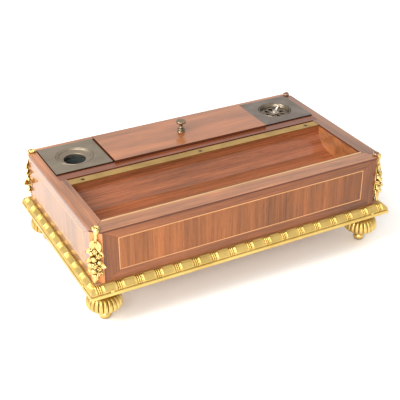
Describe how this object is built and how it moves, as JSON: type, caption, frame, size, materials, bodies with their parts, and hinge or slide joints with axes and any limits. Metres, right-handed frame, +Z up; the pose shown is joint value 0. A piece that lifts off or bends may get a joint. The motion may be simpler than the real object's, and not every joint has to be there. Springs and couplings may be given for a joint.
{
  "type": "desk inkstand with pen tray",
  "caption": "Veneered wooden desk inkstand with an open pen tray, a lift-off lid, square ink and pounce pot inserts, a reeded gilt rim, fruit corner mounts and turned feet.",
  "frame": {"origin": "on the surface that the feet stand on, under the middle of the case", "axes": "+X along the case to the right seen from the front, +Y from the pen tray to the back, +Z up"},
  "size_m": [0.3568, 0.2108, 0.1264],
  "materials": {
    "carcass_oak": "matt, unvarnished oak",
    "cross_veneer": "satin French polish, upright grain",
    "dark_banding": "satin French polish",
    "tray_mahogany": "satin French polish",
    "boxwood": "satin",
    "rail_rosewood": "gloss French polish",
    "lid_rosewood": "gloss French polish",
    "brass": "brushed, lightly tarnished",
    "steel": "plain",
    "gilt_bronze": "fire gilt, matt and burnished",
    "dark_bronze": "dark brown patina",
    "grey_bronze": "worn grey-brown patina, scratched",
    "pale_metal": "worn bright",
    "glass": "clear, ink stained inside"
  },
  "bodies": {
    "case": {"base_board": "carcass_oak", "front_board": "carcass_oak", "back_board": "carcass_oak", "left_board": "carcass_oak", "right_board": "carcass_oak", "corner_post_front_left": "cross_veneer", "corner_post_front_right": "cross_veneer", "corner_post_back_left": "cross_veneer", "corner_post_back_right": "cross_veneer", "divider_board": "carcass_oak", "left_partition": "carcass_oak", "right_partition": "carcass_oak", "well_ledges": "carcass_oak", "pen_tray": "tray_mahogany", "tray_end_left": "tray_mahogany", "tray_end_right": "tray_mahogany", "tray_lip": "boxwood", "front_rail": "rail_rosewood", "back_rail": "rail_rosewood", "left_rail": "rail_rosewood", "right_rail": "rail_rosewood", "mid_rail": "rail_rosewood", "brass_strip": "brass", "strip_screws": "steel", "front_veneer": "cross_veneer", "back_veneer": "cross_veneer", "left_veneer": "cross_veneer", "right_veneer": "cross_veneer", "front_banding": "dark_banding", "back_banding": "dark_banding", "left_banding": "dark_banding", "right_banding": "dark_banding", "stringing": "boxwood", "rim_front": "gilt_bronze", "rim_back": "gilt_bronze", "rim_left": "gilt_bronze", "rim_right": "gilt_bronze", "rim_screws": "gilt_bronze", "foot_front_left": "gilt_bronze", "foot_front_right": "gilt_bronze", "foot_back_left": "gilt_bronze", "foot_back_right": "gilt_bronze", "foot_studs": "steel", "corner_mount_front_left": "gilt_bronze", "corner_mount_front_right": "gilt_bronze", "corner_mount_back_left": "gilt_bronze", "corner_mount_back_right": "gilt_bronze", "mount_pins": "brass"},
    "lid": {"lid_panel": "lid_rosewood", "lid_battens": "carcass_oak", "lid_knob": "dark_bronze", "knob_screw": "steel"},
    "ink_well": {"ink_plate": "grey_bronze", "ink_ring": "grey_bronze", "ink_pot": "glass"},
    "pounce_well": {"pounce_plate": "grey_bronze", "pounce_pot": "brass"},
    "pounce_lid": {"pounce_cover": "grey_bronze", "cover_boss": "pale_metal"}
  },
  "joints": [
    {"name": "lid_lift", "type": "slide", "parent": "case", "child": "lid", "axis": [0, 0, 1], "range_m": [0, 0.03]},
    {"name": "ink_well_lift", "type": "slide", "parent": "case", "child": "ink_well", "axis": [0, 0, 1], "range_m": [0, 0.065]},
    {"name": "pounce_well_lift", "type": "slide", "parent": "case", "child": "pounce_well", "axis": [0, 0, 1], "range_m": [0, 0.045]},
    {"name": "pounce_cover_lift", "type": "slide", "parent": "pounce_well", "child": "pounce_lid", "axis": [0, 0, 1], "range_m": [0, 0.02]}
  ]
}
